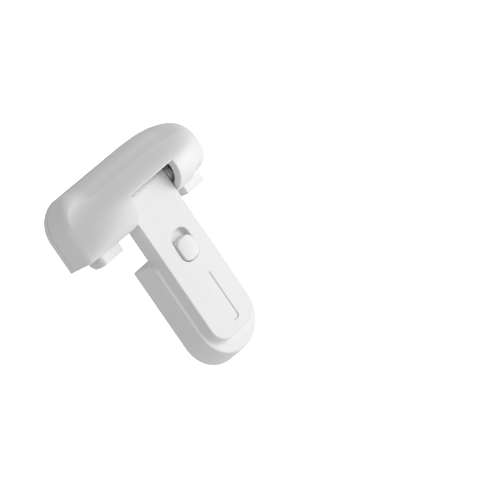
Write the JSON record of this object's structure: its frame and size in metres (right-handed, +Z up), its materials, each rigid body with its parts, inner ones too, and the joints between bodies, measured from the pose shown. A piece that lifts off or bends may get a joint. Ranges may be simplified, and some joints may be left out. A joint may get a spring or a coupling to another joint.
{
  "type": "stair gate latch",
  "caption": "White plastic adhesive-backed latch: a flat arm on a rounded base carries a wide hinged cradle head, held by a sliding lock button.",
  "frame": {"origin": "centre of the adhesive face that is stuck to the door", "axes": "+X along the cradle head, to the user's right; +Y towards the door; +Z up the arm, towards the head"},
  "size_m": [0.0906, 0.0281, 0.1033],
  "materials": {
    "white_plastic": "satin moulded white plastic",
    "inner_plastic": "matt moulded plastic",
    "steel": "plated steel",
    "foam_tape": "closed-cell adhesive foam"
  },
  "bodies": {
    "base": {"adhesive_pad": "foam_tape", "base_plate": "inner_plastic", "base_screws": "steel", "arm_housing": "white_plastic", "arm_cover": "inner_plastic", "arm_cover_screws": "steel", "hinge_bushes": "inner_plastic", "hinge_washers": "inner_plastic"},
    "slider": {"slide_button": "white_plastic", "lock_slider": "inner_plastic", "button_screw": "steel", "detent_ball": "steel", "detent_spring": "steel"},
    "head": {"hinge_pin": "steel", "pin_clips": "steel", "head_shell": "white_plastic", "head_back": "white_plastic", "head_screws": "steel", "keeper_plate": "steel", "keeper_screws": "steel", "stop_block_left": "white_plastic", "stop_block_right": "white_plastic", "stop_screws": "steel"}
  },
  "joints": [
    {"name": "head_swing", "type": "hinge", "parent": "base", "child": "head", "pos_m": [0, -0.0163, 0.0545], "axis": [1, 0, 0], "range_deg": [0, 90]},
    {"name": "button_slide", "type": "slide", "parent": "base", "child": "slider", "axis": [0, 0, 1], "range_m": [0, 0.0032]}
  ]
}
